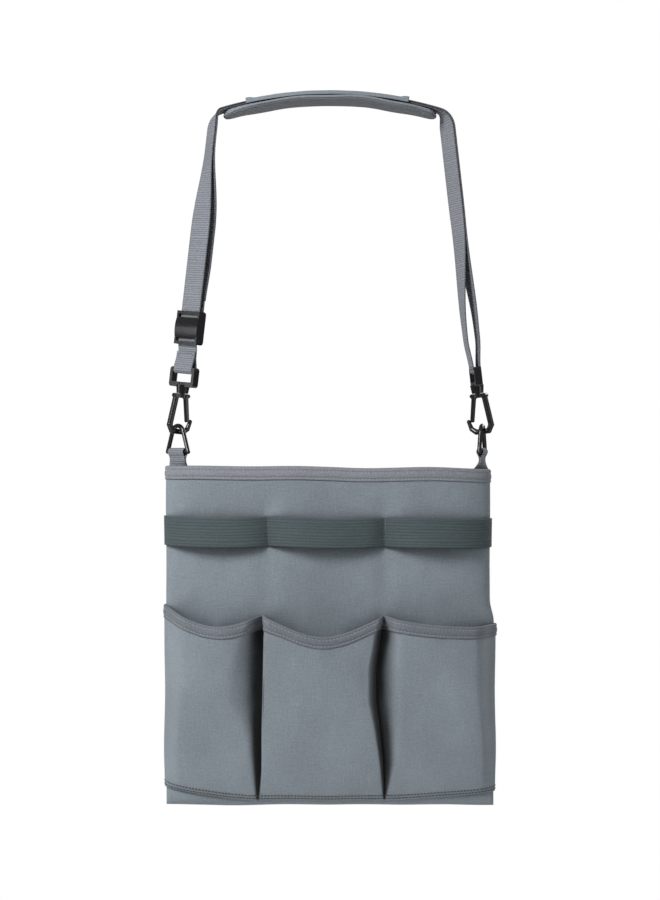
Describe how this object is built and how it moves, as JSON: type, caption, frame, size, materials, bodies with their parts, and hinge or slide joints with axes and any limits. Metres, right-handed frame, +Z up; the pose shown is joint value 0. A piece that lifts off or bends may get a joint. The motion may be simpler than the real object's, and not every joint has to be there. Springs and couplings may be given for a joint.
{
  "type": "garden tool bag",
  "caption": "Flat canvas tool bag with outer pockets and elastic loops, hung by D-rings and swivel snap hooks from an adjustable webbing strap with a padded shoulder.",
  "frame": {"origin": "middle of the shoulder pad's underside, where the bag hangs", "axes": "+Z up, +X to the right of someone facing the pockets, pockets face -Y"},
  "size_m": [0.3208, 0.0642, 0.6858],
  "materials": {
    "canvas": "plain-woven polyester canvas, matt, cool grey",
    "tape": "woven binding tape, matt, slightly warmer grey than the canvas",
    "webbing": "ribbed polyester webbing, slight sheen",
    "elastic": "knitted elastic with fine lengthwise ribs, dark slate green",
    "pad_lining": "brushed mid-grey lining fabric under the shoulder pad",
    "foam": "closed-cell foam, hidden inside the pad",
    "plastic": "injection-moulded acetal, glossy black"
  },
  "bodies": {
    "strap": {"strap_outer_run": "webbing", "strap_inner_run": "webbing", "pad_bottom_cover": "pad_lining", "pad_foam": "foam", "pad_top_cover": "canvas", "pad_edge_binding": "tape", "pad_sleeve": "canvas", "left_swivel_base": "plastic", "right_swivel_base": "plastic"},
    "slider": {"strap_slider": "plastic", "strap_end_loop": "webbing"},
    "left_hook": {"left_hook": "plastic"},
    "left_gate": {"left_gate": "plastic"},
    "right_hook": {"right_hook": "plastic"},
    "right_gate": {"right_gate": "plastic"},
    "bag": {"back_panel": "canvas", "front_panel": "canvas", "mouth_binding": "tape", "elastic_band": "elastic", "pocket_panel": "canvas", "pocket_binding": "tape", "left_ring_tab": "webbing", "right_ring_tab": "webbing"},
    "left_ring": {"left_ring": "plastic"},
    "right_ring": {"right_ring": "plastic"}
  },
  "joints": [
    {"name": "bag_swing", "type": "hinge", "parent": "strap", "child": "bag", "pos_m": [0, 0, -0.3134], "axis": [1, 0, 0], "range_deg": [-30, 30]},
    {"name": "slider_travel", "type": "slide", "parent": "strap", "child": "slider", "axis": [0.1128, 0, 0.9936], "range_m": [-0.012, 0.08]},
    {"name": "left_swivel", "type": "hinge", "parent": "strap", "child": "left_hook", "pos_m": [-0.146, 0, -0.3134], "axis": [0.1128, 0, 0.9936], "range_deg": [-25, 8]},
    {"name": "left_gate_flex", "type": "hinge", "parent": "left_hook", "child": "left_gate", "pos_m": [-0.13865, 0.00283, -0.28082], "axis": [-0.6117, 0.788, 0.0695], "range_deg": [0, 14], "stiffness_Nm_per_rad": 0.08},
    {"name": "right_swivel", "type": "hinge", "parent": "strap", "child": "right_hook", "pos_m": [0.146, 0, -0.3134], "axis": [-0.1128, 0, 0.9936], "range_deg": [-10, 30]},
    {"name": "right_gate_flex", "type": "hinge", "parent": "right_hook", "child": "right_gate", "pos_m": [0.13822, 0.00216, -0.28087], "axis": [-0.4665, -0.8829, -0.053], "range_deg": [0, 14], "stiffness_Nm_per_rad": 0.08},
    {"name": "left_ring_tilt", "type": "hinge", "parent": "bag", "child": "left_ring", "pos_m": [-0.146, 0, -0.3329], "axis": [0.6691, -0.7431, 0], "range_deg": [-3, 1]},
    {"name": "right_ring_tilt", "type": "hinge", "parent": "bag", "child": "right_ring", "pos_m": [0.146, 0, -0.3329], "axis": [0.2419, 0.9703, 0], "range_deg": [-3, 1]}
  ]
}
